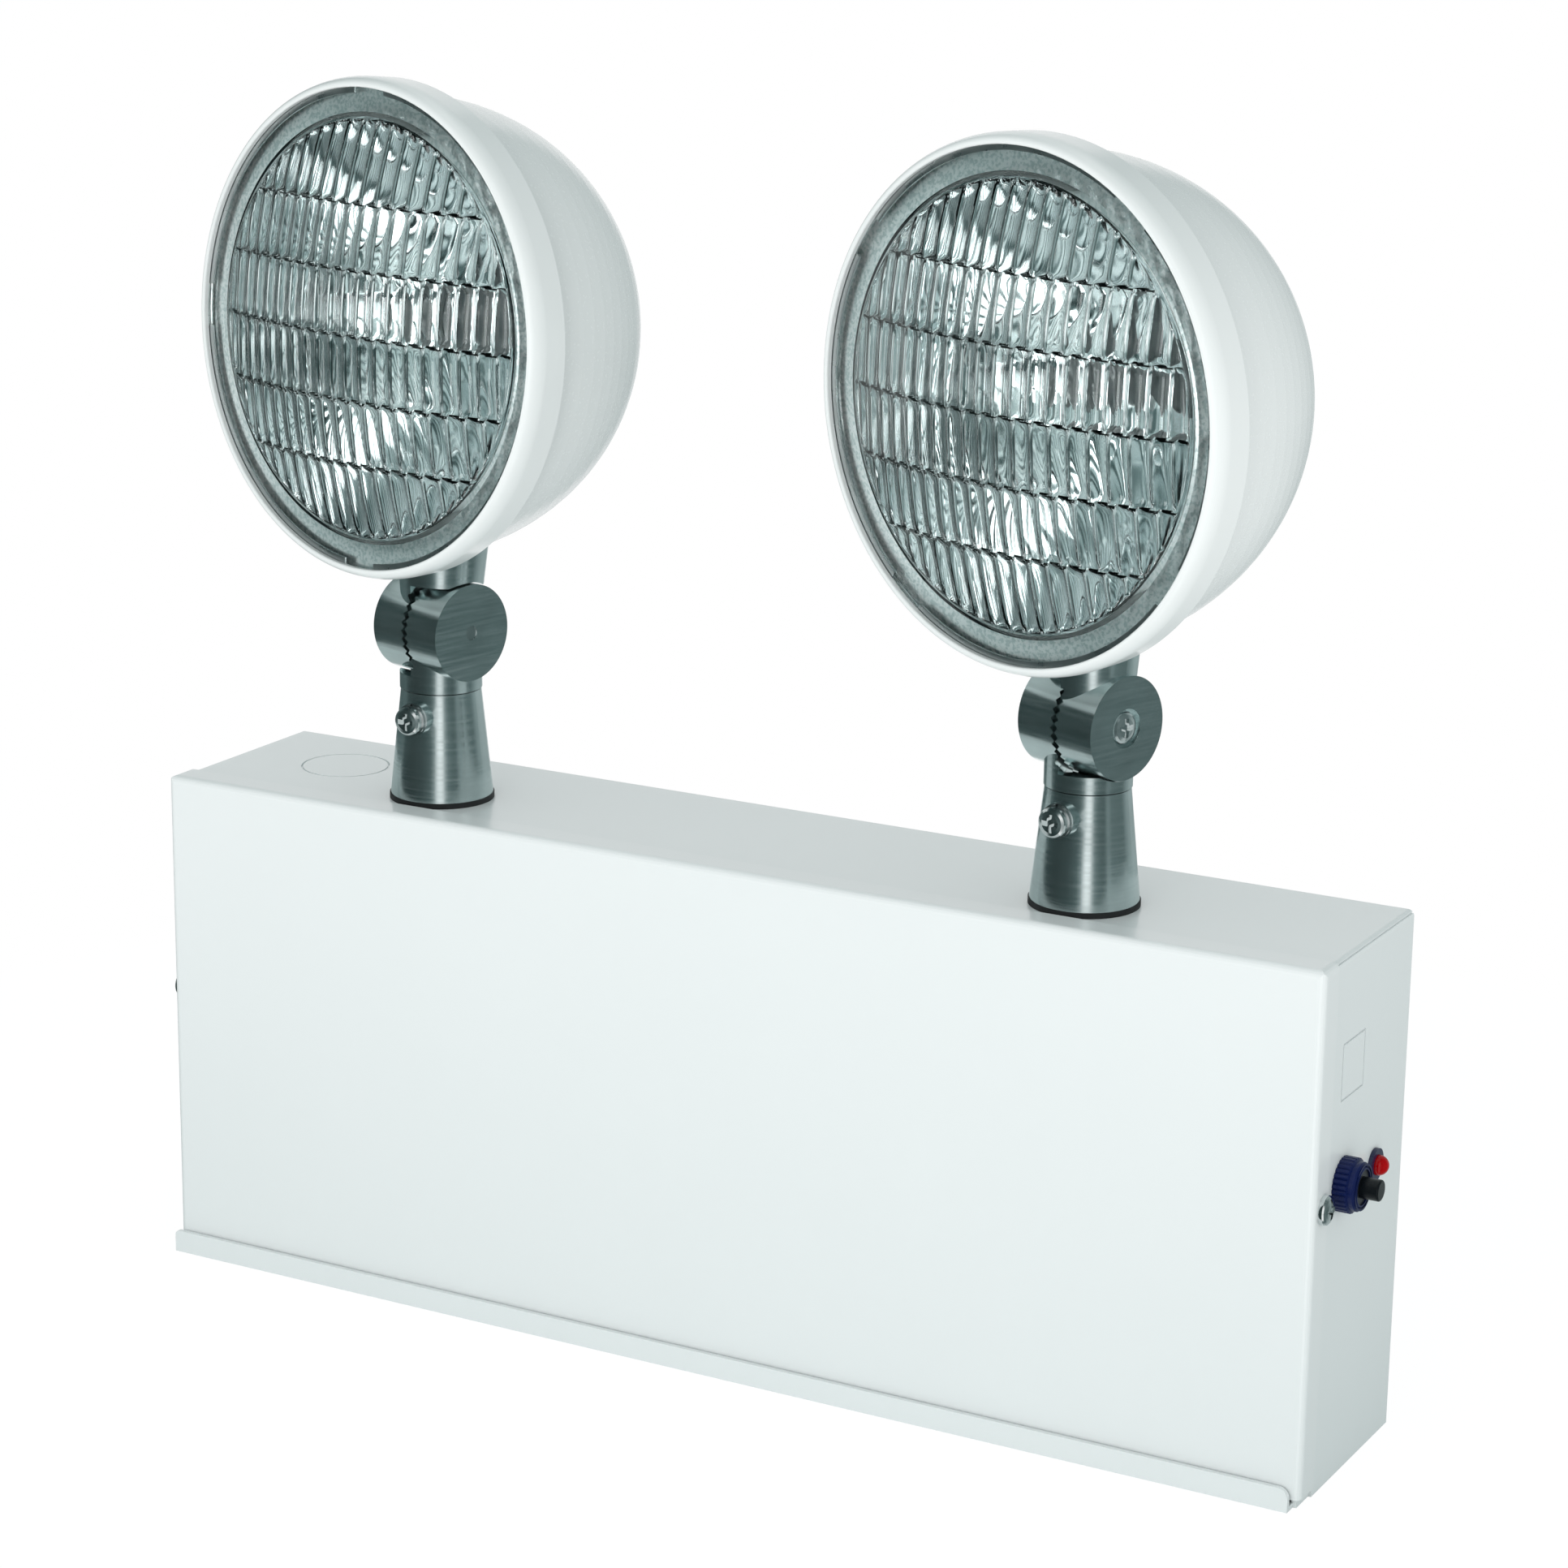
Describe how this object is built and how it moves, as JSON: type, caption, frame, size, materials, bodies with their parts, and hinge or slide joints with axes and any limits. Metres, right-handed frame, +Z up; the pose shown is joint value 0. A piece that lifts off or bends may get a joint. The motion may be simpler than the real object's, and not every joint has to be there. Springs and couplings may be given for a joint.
{
  "type": "twin head emergency light",
  "caption": "Emergency light: white sheet steel battery cabinet with adjustable sealed beam lamp heads on split knuckle swivels, a test button and a red pilot light.",
  "frame": {"origin": "middle of the cabinet's bottom face, which it stands on", "axes": "+X towards the side with the test button, -Y the front where the lamps look, +Z up"},
  "size_m": [0.3169, 0.0896, 0.2999],
  "materials": {
    "white_sheet": "semi-gloss enamel",
    "white_cover": "semi-gloss enamel",
    "white_shell": "semi-gloss enamel",
    "white_bezel": "gloss enamel",
    "chrome": "bright plated",
    "bright_screws": "bright zinc",
    "plated_steel": "zinc plated",
    "retainer_steel": "plain spring steel",
    "core_steel": "varnished plates",
    "brass": "tinned brass",
    "black_rubber": "matte",
    "lens_glass": "clear pressed glass",
    "reflector_silver": "aluminised glass",
    "bulb_glass": "clear glass on a white base",
    "battery_plastic": "moulded",
    "coil_tape": "varnished tape",
    "board_green": "solder mask",
    "relay_plastic": "gloss",
    "capacitor_sleeve": "sleeved can",
    "block_plastic": "moulded",
    "switch_plastic": "gloss",
    "navy_nut": "dark blue anodised",
    "button_plastic": "gloss",
    "pilot_red": "translucent",
    "clip_plastic": "gloss",
    "red_wire": "insulation",
    "grey_wire": "insulation",
    "pale_wire": "insulation"
  },
  "bodies": {
    "cabinet": {"back_box": "white_sheet", "front_cover": "white_cover", "cover_screws": "bright_screws", "battery_case": "battery_plastic", "battery_terminals": "brass", "battery_strap": "plated_steel", "transformer_core": "core_steel", "transformer_coil": "coil_tape", "transformer_strap": "plated_steel", "chassis_screws": "bright_screws", "circuit_board": "board_green", "board_standoffs": "plated_steel", "relay": "relay_plastic", "capacitors": "capacitor_sleeve", "terminal_block": "block_plastic", "switch_body": "switch_plastic", "switch_nut": "navy_nut", "pilot_lens": "pilot_red", "pilot_clip": "clip_plastic", "battery_leads": "red_wire", "lamp_harness": "grey_wire", "charger_leads": "pale_wire", "left_base_gasket": "black_rubber", "left_base_cone": "chrome", "left_base_locknut": "plated_steel", "left_clamp_screw": "bright_screws", "left_clamp_washer": "plated_steel", "right_base_gasket": "black_rubber", "right_base_cone": "chrome", "right_base_locknut": "plated_steel", "right_clamp_screw": "bright_screws", "right_clamp_washer": "plated_steel"},
    "left_knuckle": {"left_lower_knuckle": "chrome", "left_tilt_screw": "bright_screws"},
    "left_head": {"left_upper_knuckle": "chrome", "left_shell_washer": "plated_steel", "left_shell_nut": "plated_steel", "left_shell": "white_shell", "left_bezel": "white_bezel", "left_lamp_retainer": "retainer_steel", "left_lamp_lens": "lens_glass", "left_lamp_reflector": "reflector_silver", "left_lamp_bulb": "bulb_glass", "left_lamp_terminals": "brass", "left_lamp_leads": "grey_wire"},
    "right_knuckle": {"right_lower_knuckle": "chrome", "right_tilt_screw": "bright_screws"},
    "right_head": {"right_upper_knuckle": "chrome", "right_shell_washer": "plated_steel", "right_shell_nut": "plated_steel", "right_shell": "white_shell", "right_bezel": "white_bezel", "right_lamp_retainer": "retainer_steel", "right_lamp_lens": "lens_glass", "right_lamp_reflector": "reflector_silver", "right_lamp_bulb": "bulb_glass", "right_lamp_terminals": "brass", "right_lamp_leads": "grey_wire"},
    "test_plunger": {"test_button": "button_plastic"}
  },
  "joints": [
    {"name": "left_pan", "type": "hinge", "parent": "cabinet", "child": "left_knuckle", "pos_m": [-0.0863, -0.00585, 0.1672], "axis": [0, 0, 1], "range_deg": [-146.2, 173.8]},
    {"name": "left_tilt", "type": "hinge", "parent": "left_knuckle", "child": "left_head", "pos_m": [-0.0863, -0.00585, 0.1672], "axis": [-0.9711, 0.2385, 0], "range_deg": [-77.7, 72.3]},
    {"name": "right_pan", "type": "hinge", "parent": "cabinet", "child": "right_knuckle", "pos_m": [0.0863, -0.00585, 0.1672], "axis": [0, 0, 1], "range_deg": [-142.2, 177.8]},
    {"name": "right_tilt", "type": "hinge", "parent": "right_knuckle", "child": "right_head", "pos_m": [0.0863, -0.00585, 0.1672], "axis": [-0.9521, 0.3057, 0], "range_deg": [-74.5, 75.5]},
    {"name": "test_press", "type": "slide", "parent": "cabinet", "child": "test_plunger", "axis": [-1, 0, 0], "range_m": [0, 0.003], "stiffness_N_per_m": 400, "springref_m": -0.001}
  ]
}
